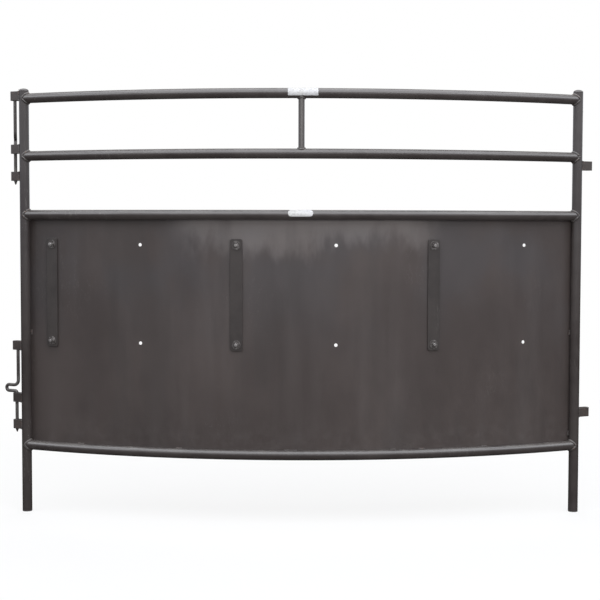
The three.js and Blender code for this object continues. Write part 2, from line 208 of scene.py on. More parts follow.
def mixed(factor, first, second):
    """Two colours mixed by a factor. A plain colour is three numbers."""
    colours = [value if isinstance(value, Wire) else (*value, 1) for value in (first, second)]
    mix = factor.node("ShaderNodeMix", {0: factor, 6: colours[0], 7: colours[1]}, data_type="RGBA")
    return mix.output(2)


def up_slope(wire):
    """How far the surface faces up, from -1 to 1."""
    return part_of(wire.node("ShaderNodeNewGeometry").output("Normal"), "Z")


def sharpness(wire):
    """About 0.5 on flats, more on outward edges and less in corners."""
    return wire.node("ShaderNodeNewGeometry").output("Pointiness")


def finish_of(name, colour, roughness, bump, bump_depth, metallic=0.0, specular=0.5):
    """The surface shader. Colour, roughness, metal and bump can be wires."""
    bumped = colour.node("ShaderNodeBump", {"Height": bump, "Distance": bump_depth, "Strength": 1.0})
    surface = colour.node("ShaderNodeBsdfPrincipled", {
        "Base Color": colour, "Roughness": roughness, "Metallic": metallic, "Normal": bumped,
        "Specular IOR Level": specular})
    colour.node("ShaderNodeOutputMaterial", {"Surface": surface})
    print("finish:", name, "with", len(colour.tree.nodes), "nodes")


def new_finish(name):
    material = bpy.data.materials.new(name)
    material.use_nodes = True
    material.node_tree.nodes.clear()
    return material, Wire(material.node_tree)


# %% [markdown]
# ## Frame paint
#
# The frame is sprayed after welding with a dark charcoal-brown enamel. Close up it has the fine dimples of
# sprayed paint, slow changes of tone, a thin film of dust on what faces up, and a few light scratches. The
# welds, the straps and the loops wear it duller, with painted shade that darkens their corners and
# crevices, and the welds and loops show specks of rust.
# All of this is noise on the piece's own place in metres, so each size is a real one.

# %% Frame paint
DUST, SCRATCHED = (0.21, 0.195, 0.18), (0.16, 0.15, 0.14)
CORNER_SHADE_COLOUR, RUST = (0.012, 0.010, 0.009), (0.17, 0.105, 0.082)
SPRAY_DIMPLES, SPRAY_DEPTH = 240, 0.00025


def spray_bump(wire):
    """The dimples of sprayed enamel, with slower runs under them."""
    return noise(wire, SPRAY_DIMPLES, 2) * 0.35 + noise(wire, 38, 3) * 0.65


def scratches(wire, stretch, shift):
    """Thin light lines: the few places where a stretched noise comes near its middle."""
    lines = noise(wire, 30, 4, 0.6, stretch, shift)
    thin = 1 - ramp(wire.math("ABSOLUTE", lines - 0.5), 0.0015, 0.006)
    return thin * ramp(noise(wire, 2.3, 2, shift=shift), 0.56, 0.68)


def paint_finish(name, dark, light, gloss, dust_share, corner_shade_share=0.0, specular=0.75, rust_share=0.0):
    """Enamel between two tones. The shares say how much dust, painted shade in corners and rust it shows.
    """
    material, wire = new_finish(name)
    tone = ramp(noise(wire, 3.1, 4) * 0.7 + noise(wire, 21, 3) * 0.3, 0.36, 0.64)
    dust = ramp(up_slope(wire), 0.25, 0.95) * ramp(noise(wire, 9, 5, 0.65), 0.3, 0.75) * dust_share
    scratch = scratches(wire, (1, 1, 0.16), (3, 1, 2)) * 0.5
    chip = ramp(sharpness(wire) + (noise(wire, 120, 3) - 0.5) * 0.08, 0.56, 0.62) * 0.45
    # Painted shade: the colour darkens where the surface turns inward, in corners and crevices.
    shade_in_corners = (1 - ramp(sharpness(wire), 0.40, 0.49)) * corner_shade_share
    colour = mixed(dust, mixed(tone, dark, light), DUST)
    colour = mixed((scratch + chip).clamped(), colour, SCRATCHED)
    colour = mixed(shade_in_corners, colour, CORNER_SHADE_COLOUR)
    if rust_share:
        specks = noise(wire, 170, 4, 0.6, shift=(6, 2, 9))
        rust = ramp(specks, 0.52, 0.66) * ramp(noise(wire, 16, 3), 0.38, 0.6)
        colour = mixed(rust * rust_share, colour, RUST)
    roughness = gloss + noise(wire, 14, 4) * 0.12 + dust * 0.3 + scratch * 0.1
    finish_of(name, colour, roughness, spray_bump(wire) - scratch * 0.3, SPRAY_DEPTH, specular=specular)
    return material


FRAME_PAINT = paint_finish("frame_paint", (0.036, 0.030, 0.029), (0.050, 0.043, 0.041), gloss=0.13,
                           dust_share=0.3)
WELD_PAINT = paint_finish("weld_paint", (0.034, 0.029, 0.028), (0.056, 0.049, 0.046), gloss=0.26,
                          dust_share=0.5, corner_shade_share=0.25, rust_share=0.8)
STRAP_PAINT = paint_finish("strap_paint", (0.028, 0.024, 0.023), (0.042, 0.036, 0.034), gloss=0.34,
                           dust_share=0.3, corner_shade_share=0.8, specular=0.5)
LOOP_PAINT = paint_finish("loop_paint", (0.034, 0.028, 0.026), (0.050, 0.042, 0.039), gloss=0.34,
                          dust_share=0.4, corner_shade_share=0.5, specular=0.6, rust_share=0.4)

# %% [markdown]
# ## Sheet paint
#
# The sheet takes the same enamel, but its wide face shows what a tube hides: faint clouds where the paint
# dried at different speeds, a cooler tone higher up, dark smears and thin rain streaks that run down, and
# splashed dust above the bottom rail. High up, a pale band with a ragged lower edge is a painted reflection
# of the sky; it is painted lightest right under the third rail, where it covers the rail's shadow.

# %% Sheet paint
SHEET_DARK, SHEET_LIGHT = (0.044, 0.0355, 0.0335), (0.057, 0.046, 0.043)
SHEET_COOL_TONE, SHEET_STAIN_AND_REFLECTION = (0.048, 0.045, 0.0475), (0.19, 0.172, 0.168)
SHEET_SMEAR, SHEET_SCRATCH = (0.034, 0.030, 0.029), (0.12, 0.11, 0.105)
REFLECTION_LOW, REFLECTION_HIGH = 1.09, 1.21
REFLECTION_MIDDLE, REFLECTION_REACH = 0.03, 0.60
SPLASH_HEIGHT, SPLASH_FADE = 0.30, 0.16
SHEET_WAVES, SHEET_DEPTH = 2.4, 0.0004


def sheet_paint():
    material, wire = new_finish("sheet_paint")
    place = place_on_piece(wire)
    height, along = part_of(place, "Z"), part_of(place, "X")
    clouds = ramp(noise(wire, 2.6, 5, 0.6, (1, 1, 0.7)), 0.34, 0.68)
    streaks = ramp(noise(wire, 9, 3, 0.55, (1, 1, 0.09), (5, 0, 1)), 0.42, 0.80)
    # Painted reflection of the sky: a pale band high on the sheet with a ragged lower edge, fading towards
    # the posts and lightest right under the third rail, where it paints over the rail's shadow.
    from_middle = wire.math("ABSOLUTE", along - REFLECTION_MIDDLE)
    teeth = (noise(wire, 7.5, 4, 0.6, (1, 1, 0.35), (2, 7, 3)) - 0.5) * 0.42
    painted_reflection = ramp(height + teeth, REFLECTION_LOW, REFLECTION_HIGH)
    painted_reflection = painted_reflection * (1 - ramp(from_middle + teeth * 0.4, REFLECTION_REACH * 0.7, REFLECTION_REACH))
    painted_reflection = painted_reflection * (1 + ramp(height, REFLECTION_HIGH - 0.02, REFLECTION_HIGH + 0.06) * 0.9)
    low_down = 1 - ramp(height, SPLASH_HEIGHT, SPLASH_HEIGHT + SPLASH_FADE)
    splash = low_down * ramp(noise(wire, 24, 5, 0.7), 0.4, 0.7)
    smears = ramp(noise(wire, 5.2, 4, 0.6, (1, 1, 0.24), (8, 3, 6)), 0.50, 0.66)
    # A cooler tone in clouds, which grows towards the top of the sheet.
    cool_upper_tone = ramp(noise(wire, 3.0, 3, 0.5, (1, 1, 0.8), (7, 1, 4)), 0.45, 0.65) * ramp(height, 0.6, 1.1)
    colour = mixed(cool_upper_tone * 0.55, mixed(clouds, SHEET_DARK, SHEET_LIGHT), SHEET_COOL_TONE)
    # The pale colour is for real rain streaks and splashed dust, and for the painted reflection of the sky.
    colour = mixed(streaks * 0.06 + painted_reflection * 0.36 + splash * 0.07, colour, SHEET_STAIN_AND_REFLECTION)
    colour = mixed(smears * 0.30, colour, SHEET_SMEAR)
    colour = mixed(scratches(wire, (1, 1, 0.3), (1, 4, 8)) * 0.35, colour, SHEET_SCRATCH)
    roughness = 0.37 + clouds * 0.06 + streaks * 0.07 + painted_reflection * 0.10 + splash * 0.12
    bump = spray_bump(wire) + noise(wire, 5, 2) * SHEET_WAVES
    finish_of("sheet_paint", colour, roughness, bump, SHEET_DEPTH)
    return material


SHEET_PAINT = sheet_paint()

# %% [markdown]
# ## Hardware
#
# The bolts, nuts and washers were painted with the panel and have lost paint on their corners to the
# spanner. The drop pins slide and turn in their loops, so their thin paint is rubbed through to steel in
# patches. Metal shows where a mask of sharpness and noise is high.

# %% Fastener and pin finishes
STEEL_STAIN = (0.13, 0.105, 0.085)
WORN_DEPTH = 0.0003


def worn_finish(name, paint, steel, paint_roughness, patch_scale, worn_low, worn_high):
    """Paint that has worn to steel on the edges and in rubbed patches."""
    material, wire = new_finish(name)
    edge = ramp(sharpness(wire) + (noise(wire, 160, 3) - 0.5) * 0.06, 0.53, 0.58)
    patch = ramp(noise(wire, patch_scale, 4, 0.6, (1, 1, 0.35), (4, 4, 4)), worn_low, worn_high)
    worn = (edge * 0.8 + patch).clamped()
    dust = ramp(up_slope(wire), 0.3, 1.0) * ramp(noise(wire, 60, 4), 0.35, 0.7) * 0.3
    stain = ramp(noise(wire, 75, 4, 0.6, shift=(9, 2, 5)), 0.60, 0.78)
    bare = mixed(stain, steel, STEEL_STAIN)
    colour = mixed(dust, mixed(worn, paint, bare), DUST)
    roughness = paint_roughness + noise(wire, 90, 3) * 0.14 - worn * 0.06
    bump = noise(wire, 420, 3) * 0.5 + noise(wire, 60, 3) * 0.5 - worn * 0.4
    finish_of(name, colour, roughness, bump, WORN_DEPTH, metallic=worn * 0.75)
    return material


FASTENER_FINISH = worn_finish("fastener_finish", (0.042, 0.036, 0.034), (0.38, 0.36, 0.35),
                              paint_roughness=0.26, patch_scale=110, worn_low=0.52, worn_high=0.68)
PIN_FINISH = worn_finish("pin_finish", (0.050, 0.044, 0.041), (0.25, 0.24, 0.23),
                         paint_roughness=0.34, patch_scale=22, worn_low=0.54, worn_high=0.76)

# %% [markdown]
# ## Labels
#
# Two pieces of white film are stuck on the rails. They are left blank here. Film on a farm gate is never
# clean: it has blotches of dust, faint creases and a slightly yellow tone in places.

# %% Label film
FILM_CLEAN, FILM_YELLOW, FILM_DIRT = (0.49, 0.49, 0.50), (0.48, 0.475, 0.465), (0.27, 0.26, 0.26)
FILM_DEPTH = 0.0005


def label_film():
    material, wire = new_finish("label_film")
    dirt = ramp(noise(wire, 130, 5, 0.65), 0.44, 0.66)
    yellow = ramp(noise(wire, 12, 3), 0.4, 0.7)
    creases = noise(wire, 46, 3, 0.5, (1, 1, 0.3))
    colour = mixed(dirt * 0.6, mixed(yellow, FILM_CLEAN, FILM_YELLOW), FILM_DIRT)
    finish_of("label_film", colour, 0.40 + dirt * 0.25, creases + dirt * 0.2, FILM_DEPTH)
    return material


LABEL_FILM = label_film()

# %% [markdown]
# ## Modelling helpers
#
# Each piece is made with a few moves, as by hand: add a primitive, go into edit mode, extrude or spin it,
# and finish it with modifiers. A finished piece keeps its place in its mesh, wears its finish, rides on its
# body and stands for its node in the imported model. Smooth shading would bend the light on a whole flat or
# tube towards its small bevel, so Weighted Normal lets the large faces set the normals.

# %% Modes, picking and modifiers
def clear_selection():
    if bpy.context.object and bpy.context.object.mode != "OBJECT":
        bpy.ops.object.mode_set(mode="OBJECT")
    bpy.ops.object.select_all(action="DESELECT")


def activate(piece):
    clear_selection()
    piece.select_set(True)
    bpy.context.view_layer.objects.active = piece


def start_editing(piece):
    """Goes into edit mode with all of the piece selected."""
    activate(piece)
    bpy.ops.object.mode_set(mode="EDIT")
    bpy.ops.mesh.select_all(action="SELECT")


def set_in_mesh(piece):
    """Moves the piece's place, turn and size into its mesh."""
    activate(piece)
    bpy.ops.object.transform_apply(location=True, rotation=True, scale=True)


def section(sides, radius, matrix):
    """A round section in its place, in edit mode and ready to be pushed and spun."""
    clear_selection()
    bpy.ops.mesh.primitive_circle_add(vertices=sides, radius=radius)
    piece = bpy.context.object
    piece.matrix_world = matrix
    set_in_mesh(piece)
    start_editing(piece)
    return piece


def cylinder(sides, radius, depth, **where):
    clear_selection()
    bpy.ops.mesh.primitive_cylinder_add(vertices=sides, radius=radius, depth=depth, **where)
    return bpy.context.object


def plane(size=1, **where):
    clear_selection()
    bpy.ops.mesh.primitive_plane_add(size=size, **where)
    return bpy.context.object


def shifted(x=0, y=0, z=0):
    return Matrix.Translation((x, y, z))


def push(x=0, y=0, z=0):
    """In edit mode, extrudes what is selected by an offset in metres."""
    bpy.ops.mesh.extrude_region_move(TRANSFORM_OT_translate={"value": (x, y, z)})


def spin_about(centre, axis, angle, steps):
    """In edit mode, sweeps what is selected anticlockwise round an axis that points at you.
    Blender's own operator turns clockwise, so the sign is changed."""
    bpy.ops.mesh.spin(steps=steps, angle=-angle, center=centre, axis=axis)


def pick(piece, kind, wanted):
    """In edit mode, selects the verts or faces for which the test is true."""
    bpy.ops.mesh.select_mode(type={"verts": "VERT", "faces": "FACE"}[kind])
    bpy.ops.mesh.select_all(action="DESELECT")
    mesh = bmesh.from_edit_mesh(piece.data)
    for element in getattr(mesh, kind):
        if wanted(element):
            element.select_set(True)
    mesh.select_flush(True)
    bmesh.update_edit_mesh(piece.data)


def apply_modifier(piece, kind, **settings):
    activate(piece)
    modifier = piece.modifiers.new(kind.lower(), kind)
    for name, value in settings.items():
        setattr(modifier, name, value)
    bpy.ops.object.modifier_apply(modifier=modifier.name)


def cut_with(piece, cutter, operation="DIFFERENCE"):
    """Cuts one piece out of another, or keeps what they share, and throws the cutter away."""
    apply_modifier(piece, "BOOLEAN", object=cutter, operation=operation, solver="EXACT")
    bpy.data.objects.remove(cutter)


def round_edges(piece, width, steps=2, angle=35):
    apply_modifier(piece, "BEVEL", width=width, segments=steps, limit_method="ANGLE",
                   angle_limit=math.radians(angle))


DOUBLE_DISTANCE = 0.00001


def tidy(piece, closed=True):
    """Joins doubles, closes what is open unless it is a film, and turns every face outwards."""
    start_editing(piece)
    bpy.ops.mesh.remove_doubles(threshold=DOUBLE_DISTANCE)
    if closed:
        bpy.ops.mesh.fill_holes(sides=0)
    bpy.ops.mesh.normals_make_consistent(inside=False)
    bpy.ops.object.mode_set(mode="OBJECT")


def copy_of(piece, name):
    """A copy with a mesh of its own."""
    activate(piece)
    bpy.ops.object.duplicate()
    twin = bpy.context.object
    twin.name = name
    return twin


# %% Finished pieces
made_pieces = []


def misfit(piece, node):
    """How far the corners of a piece's box lie from those of its node, in millimetres."""
    gaps = []
    for axis, (low, high) in enumerate(zip(*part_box(node))):
        places = [vertex.co[axis] for vertex in piece.data.vertices]
        gaps += [abs(min(places) - low), abs(max(places) - high)]
    return round(max(gaps) * 1000, 2)


def finish_piece(piece, name, matrix, material, nodes=(), body="panel", smooth=35):
    """Sets a piece in its place, smooths and paints it, and ties it to its body and its nodes."""
    activate(piece)
    piece.name = name
    piece.data.name = name
    piece.matrix_world = matrix @ piece.matrix_world
    set_in_mesh(piece)
    bpy.ops.object.shade_smooth_by_angle(angle=math.radians(smooth))
    apply_modifier(piece, "WEIGHTED_NORMAL", keep_sharp=True)
    piece.data.materials.clear()
    piece.data.materials.append(material)
    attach(piece, body)
    if nodes:
        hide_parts(*nodes)
    made_pieces.append(piece)
    print(name, len(piece.data.polygons), "faces, misfit in mm", [misfit(piece, node) for node in nodes])


# %% [markdown]
# ## Posts
#
# A post is plain round tube, 41.3 mm across with a wall of 1.9 mm, open at the foot and closed at the top
# by a pressed cap. Solidify gives an open cylinder its wall, and a small bevel takes the saw's edge off.

# %% Post tubes
TUBE_RADIUS = 0.02065
TUBE_WALL = 0.0019
TUBE_SIDES = 64
SAWN_EDGE = 0.0003
post_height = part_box("left_post")[1].z

for side, (end, _) in ENDS.items():
    post = cylinder(TUBE_SIDES, TUBE_RADIUS, post_height, end_fill_type="NOTHING",
                    location=(0, 0, post_height / 2))
    apply_modifier(post, "SOLIDIFY", thickness=TUBE_WALL, offset=-1)
    round_edges(post, SAWN_EDGE)
    finish_piece(post, f"{side}_post_tube", end, FRAME_PAINT, [f"{side}_post"])

# %% [markdown]
# ## Turned shapes
#
# Caps, washers and bolts are round about one axis. Such a shape can be spun from a half outline, or built
# ring by ring: a circle is extruded and resized to each next ring. The second way keeps each ring's place
# in plain sight, so it is used for all of them.

# %% Turned shapes, ring by ring
def turned_shape(sides, rings):
    """A closed shape about Z. Each ring is a radius and a height."""
    (radius, height), *others = rings
    piece = section(sides, radius, shifted(z=height))
    for next_radius, next_height in others:
        push(z=next_height - height)
        share = next_radius / radius
        bpy.ops.transform.resize(value=(share, share, 1), center_override=(0, 0, next_height))
        radius, height = next_radius, next_height
    tidy(piece)
    return piece


def dome_rings(radius, base, rise, steps, tip_share=0.03):
    """Rings of a flattened dome, from its rim to a small flat at the top."""
    rings = []
    for step in range(steps + 1):
        angle = QUARTER_TURN * step / steps
        rings.append((radius * max(math.cos(angle), tip_share), base + rise * math.sin(angle)))
    return rings


# %% Post caps
CAP_RIM, CAP_SHOULDER, CAP_EDGE = 0.003, 0.0009, 0.0005
CAP_SPIGOT_DEPTH = 0.012
CAP_RINGS = 12
SEAT_GAP = 0.0003
cap_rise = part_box("left_post_cap")[1].z - post_height

for side, (end, _) in ENDS.items():
    spigot = TUBE_RADIUS - TUBE_WALL - SEAT_GAP
    rings = [(spigot, -CAP_SPIGOT_DEPTH), (spigot, SEAT_GAP), (TUBE_RADIUS - CAP_EDGE, SEAT_GAP),
             (TUBE_RADIUS, CAP_SHOULDER)]
    rings += dome_rings(TUBE_RADIUS, CAP_RIM, cap_rise - CAP_RIM, CAP_RINGS)
    finish_piece(turned_shape(TUBE_SIDES, rings), f"{side}_post_dome", end @ shifted(z=post_height),
                 FRAME_PAINT, [f"{side}_post_cap"])

# %% [markdown]
# ## Rails
#
# A rail is tube rolled to the bend. A circle is stood up at the left post and spun about the bend's centre
# to the right post, which gives an even curve without flats. The post's own cylinder is then cut out of
# each end, so that the rail hugs the post as a fish-mouth joint does.

# %% Rails
RAIL_STEPS = 80
RAILS = ["top_rail", "second_rail", "sheet_rail", "bottom_rail"]
rail_heights = {rail: middle_of(rail).z for rail in RAILS}
end_face_turn = Matrix.Rotation(QUARTER_TURN, 4, "Y")


def rolled_tube(radius, height):
    """A solid round bar along the bend, from post axis to post axis."""
    bar = section(TUBE_SIDES, radius, on_bend(-HALF_ANGLE, height) @ end_face_turn)
    spin_about(BEND_CENTRE, (0, 0, 1), 2 * HALF_ANGLE, RAIL_STEPS)
    tidy(bar)
    return bar


def post_plug(middle):
    """A cylinder in the place of a post, to cut a cope."""
    plug = cylinder(TUBE_SIDES, TUBE_RADIUS + SEAT_GAP, post_height + cap_rise)
    plug.matrix_world = middle
    return plug


for rail in RAILS:
    bar = rolled_tube(TUBE_RADIUS, rail_heights[rail])
    for end, _ in ENDS.values():
        cut_with(bar, post_plug(end @ shifted(z=post_height / 2)))
    finish_piece(bar, f"{rail}_tube", Matrix(), FRAME_PAINT, [rail])

# %% Centre stay
STAY_RADIUS, STAY_SIDES = 0.0127, 40
stay_place = on_bend(angle_of(middle_of("centre_stay")))
stay_length = rail_heights["top_rail"] - rail_heights["second_rail"]
stay = cylinder(STAY_SIDES, STAY_RADIUS, stay_length)
stay.matrix_world = stay_place @ shifted(z=rail_heights["second_rail"] + stay_length / 2)
for rail in ("top_rail", "second_rail"):
    cut_with(stay, rolled_tube(TUBE_RADIUS + SEAT_GAP, rail_heights[rail]))
finish_piece(stay, "centre_stay_tube", Matrix(), FRAME_PAINT, ["centre_stay"])

# %% [markdown]
# ## Sheet
#
# The sheet starts flat, as it comes from the shear. A grid of its developed length is stood up, its twelve
# bolt holes are punched while it is flat, and Simple Deform bends it to the curve. The bend swings a flat
# piece round the middle of its own length, so the sheet only has to be set behind the rails.

# %% Where the straps and the holes are
STRAP_THICKNESS = 0.00635
COLUMN_COUNT = 6
HOLE_SPACING_ALONG = 0.4064
STRAPS = ["left", "centre", "right"]
strap_angles = {side: angle_of(middle_of(f"{side}_strap")) for side in STRAPS}
bolt_heights = {level: middle_of(f"left_{level}_bolt").z for level in ("upper", "lower")}
strap_middle = on_bend(strap_angles["centre"]).inverted() @ middle_of("centre_strap")
strap_back = strap_middle.y + STRAP_THICKNESS / 2
sheet_face = strap_back + SEAT_GAP
print("straps' backs lie", round(strap_back * 1000, 2), "mm inside the bend of the rails")

# %% Flat sheet with its holes
SHEET_THICKNESS = 0.0019
SHEET_FACES_ALONG, SHEET_FACES_UP = 144, 40
HOLE_RADIUS = 0.0071
SHEET_PUNCH, STRAP_PUNCH = (24, 0.02), (32, 0.04)
sheet_low, sheet_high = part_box("sheet_panel")
sheet_radius = BEND_RADIUS - sheet_face
sheet_length = 2 * HALF_ANGLE * sheet_radius
columns_middle = sum(strap_angles.values()) / len(STRAPS) * sheet_radius + HOLE_SPACING_ALONG / 2


def column_place(column):
    """How far along the sheet a column of holes lies from its middle."""
    return columns_middle + (column - (COLUMN_COUNT - 1) / 2) * HOLE_SPACING_ALONG


def punch_hole(piece, punch, along, height):
    """Punches a bolt hole through a piece that stands along X. A punch has its sides and length."""
    sides, length = punch
    cut_with(piece, cylinder(sides, HOLE_RADIUS, length, location=(along, 0, height),
                             rotation=(QUARTER_TURN, 0, 0)))


clear_selection()
bpy.ops.mesh.primitive_grid_add(x_subdivisions=SHEET_FACES_ALONG, y_subdivisions=SHEET_FACES_UP, size=1)
sheet = bpy.context.object
sheet.scale = (sheet_length, sheet_high.z - sheet_low.z, 1)
sheet.rotation_euler = (QUARTER_TURN, 0, 0)
sheet.location = (0, 0, (sheet_low.z + sheet_high.z) / 2)
set_in_mesh(sheet)
apply_modifier(sheet, "SOLIDIFY", thickness=SHEET_THICKNESS, offset=-1)
for column in range(COLUMN_COUNT):
    for height in bolt_heights.values():
        punch_hole(sheet, SHEET_PUNCH, column_place(column), height)
print("holes at", [round(column_place(column), 3) for column in range(COLUMN_COUNT)], "m along the sheet")

# %% Bend the sheet and set it behind the rails
apply_modifier(sheet, "SIMPLE_DEFORM", deform_method="BEND", deform_axis="Z", angle=2 * HALF_ANGLE)
finish_piece(sheet, "formed_sheet", on_bend(0) @ shifted(y=sheet_face), SHEET_PAINT,
             ["sheet_panel"], smooth=25)

# %% [markdown]
# ## Straps
#
# Each strap is flat bar, 50.8 by 6.35 mm, with rounded corners and a hole near each end. A plane has its
# corners rounded, is extruded to its thickness, and gets its holes and the soft edge of rolled bar.

# %% Straps
STRAP_WIDTH, STRAP_LENGTH = 0.0508, 0.4572
STRAP_CORNER = 0.009
BAR_EDGE = 0.0007
hole_spacing_up = bolt_heights["upper"] - bolt_heights["lower"]


def rounded_slab(slab, corner, thickness):
    """Rounds the corners of an upright plane and extrudes it along Y."""
    set_in_mesh(slab)
    start_editing(slab)
    bpy.ops.mesh.bevel(offset=corner, segments=8, affect="VERTICES")
    bpy.ops.mesh.select_all(action="SELECT")
    push(y=thickness)
    tidy(slab)


def strap_bar():
    """A strap at the origin, standing up, with its back on the XZ plane and its face to -Y."""
    bar = plane(rotation=(QUARTER_TURN, 0, 0))
    bar.scale = (STRAP_WIDTH, STRAP_LENGTH, 1)
    rounded_slab(bar, STRAP_CORNER, -STRAP_THICKNESS)
    for way in (-1, 1):
        punch_hole(bar, STRAP_PUNCH, 0, way * hole_spacing_up / 2)
    round_edges(bar, BAR_EDGE, 3)
    return bar


first_strap = strap_bar()
for side, angle in strap_angles.items():
    strap = copy_of(first_strap, f"{side}_strap_bar")
    place = on_bend(angle, strap_middle.z) @ shifted(y=strap_back)
    finish_piece(strap, f"{side}_strap_bar", place, STRAP_PAINT, [f"{side}_strap"])
bpy.data.objects.remove(first_strap)

# %% [markdown]
# ## Bolts, washers and nuts
#
# Round-headed bolts come through from the inner side, with a washer and a nut outside on the strap. The
# washer and the bolt are turned shapes. The nut is a six-sided bar that is cut to a cone at its corners and
# gets a hole, as the real one does.

# %% Fastener shapes
BOLT_RADIUS = 0.00635
THREAD_DEPTH = 0.0008
THREAD_PITCH = 0.00195
HEAD_RADIUS, HEAD_RIM, HEAD_RISE, HEAD_EDGE = 0.0135, 0.001, 0.0066, 0.0004
WASHER_RADIUS, WASHER_THICKNESS, WASHER_EDGE = 0.0175, 0.0026, 0.0004
NUT_FLATS, NUT_HEIGHT, NUT_EDGE = 0.019, 0.011, 0.0003
NUT_FACE_SHARE, NUT_SLOPE, NUT_CONE_ROOM = 0.97, 0.0011, 0.0008
BOLT_PROUD = 0.004
BOLT_CHAMFER = 0.0012
FASTENER_SIDES, HEAD_RINGS = 40, 8


def washer_shape():
    """A washer lying on the XY plane."""
    hole, rim, top = BOLT_RADIUS + SEAT_GAP, WASHER_RADIUS, WASHER_THICKNESS
    piece = turned_shape(FASTENER_SIDES, [(hole, 0), (rim, 0), (rim, top), (hole, top), (hole, 0)])
    round_edges(piece, WASHER_EDGE)
    return piece


def nut_shape():
    """A nut standing on the XY plane, with both faces chamfered."""
    half_side = math.radians(30)
    corner = NUT_FLATS / 2 / math.cos(half_side)
    piece = cylinder(6, corner, NUT_HEIGHT, location=(0, 0, NUT_HEIGHT / 2), rotation=(0, 0, half_side))
    face, cone = NUT_FLATS / 2 * NUT_FACE_SHARE, corner + NUT_CONE_ROOM
    rings = [(face, 0), (cone, NUT_SLOPE), (cone, NUT_HEIGHT - NUT_SLOPE), (face, NUT_HEIGHT)]
    cut_with(piece, turned_shape(FASTENER_SIDES, rings), "INTERSECT")
    cut_with(piece, cylinder(FASTENER_SIDES, BOLT_RADIUS + SEAT_GAP, 3 * NUT_HEIGHT))
    round_edges(piece, NUT_EDGE, 2, 25)
    return piece


def bolt_shape(end, head_face):
    """A bolt on the Z axis, from its threaded end to the crown of its head."""
    rings = [(BOLT_RADIUS - BOLT_CHAMFER, end), (BOLT_RADIUS, end + BOLT_CHAMFER)]
    height = end + BOLT_CHAMFER
    while height < end + BOLT_PROUD + NUT_HEIGHT:
        rings.append((BOLT_RADIUS - THREAD_DEPTH, height + THREAD_PITCH / 2))
        rings.append((BOLT_RADIUS, height + THREAD_PITCH))
        height += THREAD_PITCH
    rings += [(BOLT_RADIUS, head_face), (HEAD_RADIUS - HEAD_EDGE, head_face),
              (HEAD_RADIUS, head_face + HEAD_EDGE)]
    rings += dome_rings(HEAD_RADIUS, head_face + HEAD_RIM, HEAD_RISE - HEAD_RIM, HEAD_RINGS)
    return turned_shape(FASTENER_SIDES, rings)


# %% Set the fasteners on their straps
fastener_random = random.Random(4)
outward, inward = Matrix.Rotation(QUARTER_TURN, 4, "X"), Matrix.Rotation(-QUARTER_TURN, 4, "X")
washer_back = strap_back - STRAP_THICKNESS - SEAT_GAP
nut_back = washer_back - WASHER_THICKNESS - SEAT_GAP
bolt_end = nut_back - NUT_HEIGHT - BOLT_PROUD
head_face = sheet_face + SHEET_THICKNESS + SEAT_GAP
masters = {"washer": (washer_shape(), washer_back, outward), "nut": (nut_shape(), nut_back, outward),
           "bolt": (bolt_shape(bolt_end, head_face), 0, inward)}
for side, angle in strap_angles.items():
    for level, height in bolt_heights.items():
        for kind, (master, back, facing) in masters.items():
            spin = Matrix.Rotation(math.radians(fastener_random.uniform(0, 60)), 4, "Z")
            place = on_bend(angle, height) @ shifted(y=back) @ facing @ spin
            piece = copy_of(master, f"{side}_{level}_{kind}_set")
            finish_piece(piece, piece.name, place, FASTENER_FINISH, [f"{side}_{level}_{kind}"])
for master, _, _ in masters.values():
    bpy.data.objects.remove(master)

# %% [markdown]
# ## Connector loops
#
# Each loop is a flat bar bent into a U and welded to the post by both ends. The bar's section is a plane,
# pushed out along one leg, spun half a turn round the pin's place and pushed back along the other. The
# post's cylinder trims both ends, and a bevel gives the soft edge of rolled bar.

# %% Loops
LOOP_HEIGHT, LOOP_BAR = 0.0381, 0.0048
LOOP_INNER_RADIUS, LOOP_BEND_STEPS = 0.011, 28
LOOP_MIDDLE = LOOP_INNER_RADIUS + LOOP_BAR / 2
LOOP_REACHES = {"left": 0.050, "right": 0.058}
loops = {f"{level}_{part}_loop": "left" for level in ("upper", "lower")
         for part in ("keeper", "clevis_top", "clevis_bottom")}
loops |= {"upper_right_loop": "right", "lower_right_loop": "right"}


def loop_shape(reach):
    """A loop that reaches along X from a post at the origin."""
    bar = plane(rotation=(0, QUARTER_TURN, 0), location=(0, -LOOP_MIDDLE, 0))
    bar.scale = (LOOP_HEIGHT, LOOP_BAR, 1)
    set_in_mesh(bar)
    start_editing(bar)
    push(x=reach)
    spin_about((reach, 0, 0), (0, 0, 1), math.pi, LOOP_BEND_STEPS)
    push(x=-reach)
    tidy(bar)
    cut_with(bar, post_plug(Matrix()))
    round_edges(bar, BAR_EDGE, 3)
    return bar


def loop_place(node):
    """The frame of a loop, with X pointing away from the panel."""
    side = loops[node]
    turn = Matrix.Rotation(math.pi if side == "left" else 0, 4, "Z")
    return ENDS[side][0] @ turn @ shifted(z=middle_of(node).z)


for node, side in loops.items():
    finish_piece(loop_shape(LOOP_REACHES[side]), node.replace("_loop", "_bent_bar"), loop_place(node),
                 LOOP_PAINT, [node])

# %% [markdown]
# ## Drop pins
#
# A drop pin is one rod of 14 mm, bent cold: straight down from the keeper, a wide shoulder bend, an arm
# out, a half turn for the hand, an arm back, a tight heel bend and the long shank with its blunt point. It
# is drawn as it is bent: a circle is pushed along each straight and spun round each bend.

